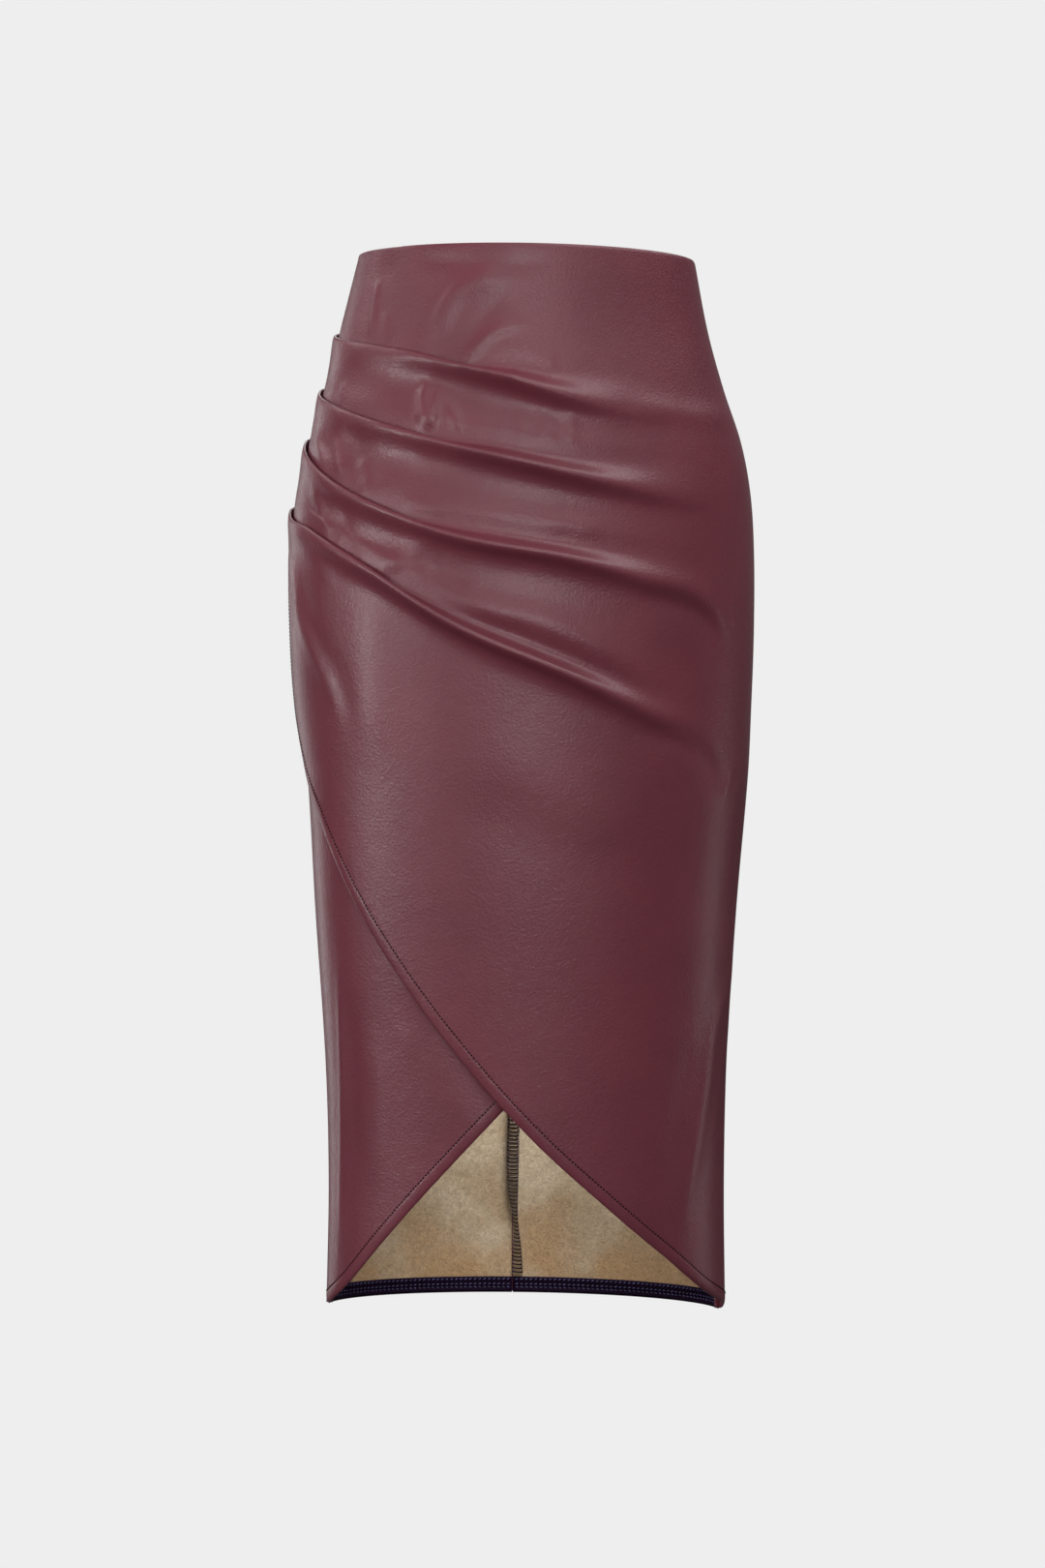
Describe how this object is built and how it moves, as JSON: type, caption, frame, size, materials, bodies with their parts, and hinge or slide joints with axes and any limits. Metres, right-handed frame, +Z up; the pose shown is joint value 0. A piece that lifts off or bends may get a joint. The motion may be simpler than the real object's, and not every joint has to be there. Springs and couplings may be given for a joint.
{
  "type": "skirt",
  "caption": "High-waisted leather-look pencil skirt with a tulip wrap front, side pleats and a concealed back zip.",
  "frame": {"origin": "centre of the waist opening, level with the waist's edge", "axes": "+Z up along the skirt, -Y out of the front, +X towards the wearer's left"},
  "size_m": [0.3231, 0.2416, 0.7286],
  "materials": {
    "coated_cloth": "burgundy coated face with a satin sheen, tan brushed backing",
    "hem_tape": "near-black overlocked hem band",
    "zip_tape": "matt burgundy tape",
    "zip_enamel": "burgundy enamel"
  },
  "bodies": {
    "skirt": {"front_overlap": "coated_cloth", "front_underlap": "coated_cloth", "overlap_hem": "coated_cloth", "underlap_hem": "coated_cloth", "back_left": "coated_cloth", "back_right": "coated_cloth", "back_left_hem": "hem_tape", "back_right_hem": "hem_tape", "back_seam_allowance": "coated_cloth", "zip_tape_left": "zip_tape", "zip_tape_right": "zip_tape", "zip_slider": "zip_enamel"},
    "pull": {"zip_pull": "zip_enamel"}
  },
  "joints": [
    {"name": "pull_swing", "type": "hinge", "parent": "skirt", "child": "pull", "pos_m": [-0.00942, 0.08832, -0.01057], "axis": [1, 0, 0], "range_deg": [0, 165]}
  ]
}
